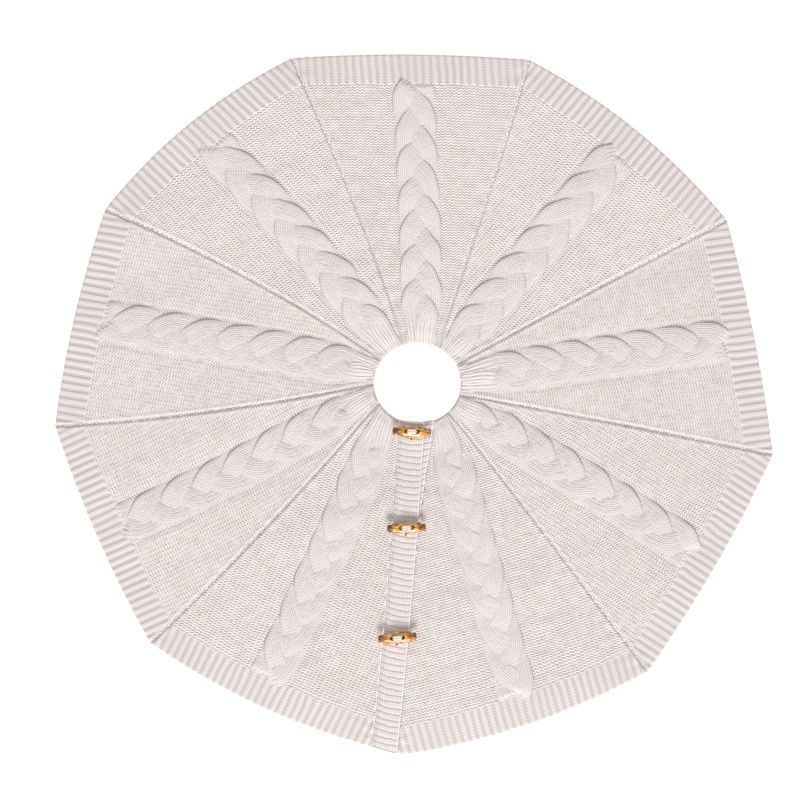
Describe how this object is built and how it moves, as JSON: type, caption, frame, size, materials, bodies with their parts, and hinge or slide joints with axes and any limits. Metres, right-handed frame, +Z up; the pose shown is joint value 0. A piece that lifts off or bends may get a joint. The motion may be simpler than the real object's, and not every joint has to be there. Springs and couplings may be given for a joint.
{
  "type": "tree skirt",
  "caption": "Round cable-knit skirt for the foot of a tree: knitted gores sewn round an open middle, closed down the front by two ribbed bands and wooden toggles.",
  "frame": {"origin": "middle of the floor rectangle that the laid-out skirt covers, on the floor", "axes": "+Z up out of the floor, -Y towards the front opening with the toggles, +X to the right as seen from above with the opening nearest"},
  "size_m": [1.2258, 1.1952, 0.0319],
  "materials": {
    "knit": "chunky matt ivory knit",
    "seam_yarn": "matt ivory yarn",
    "tie_yarn": "matt off-white yarn",
    "toggle_wood": "satin golden-brown stain"
  },
  "bodies": {
    "skirt": {"gore_1": "knit", "gore_2": "knit", "gore_3": "knit", "gore_4": "knit", "gore_5": "knit", "gore_6": "knit", "gore_7": "knit", "gore_8": "knit", "gore_9": "knit", "seam_yarn_1": "seam_yarn", "seam_yarn_2": "seam_yarn", "seam_yarn_3": "seam_yarn", "seam_yarn_4": "seam_yarn", "seam_yarn_5": "seam_yarn", "seam_yarn_6": "seam_yarn", "seam_yarn_7": "seam_yarn", "seam_yarn_8": "seam_yarn", "buttonhole_band": "knit", "button_band": "knit"},
    "top_toggle": {"toggle_top": "toggle_wood", "toggle_tie_top": "tie_yarn"},
    "middle_toggle": {"toggle_middle": "toggle_wood", "toggle_tie_middle": "tie_yarn"},
    "bottom_toggle": {"toggle_bottom": "toggle_wood", "toggle_tie_bottom": "tie_yarn"}
  },
  "joints": [
    {"name": "top_toggle_swivel", "type": "hinge", "parent": "skirt", "child": "top_toggle", "pos_m": [-0.00373, -0.04525, 0.017], "axis": [0, 0, 1], "range_deg": [-90, 90]},
    {"name": "middle_toggle_swivel", "type": "hinge", "parent": "skirt", "child": "middle_toggle", "pos_m": [-0.0129, -0.20815, 0.017], "axis": [0, 0, 1], "range_deg": [-90, 90]},
    {"name": "bottom_toggle_swivel", "type": "hinge", "parent": "skirt", "child": "bottom_toggle", "pos_m": [-0.02835, -0.39461, 0.017], "axis": [0, 0, 1], "range_deg": [-90, 90]}
  ]
}
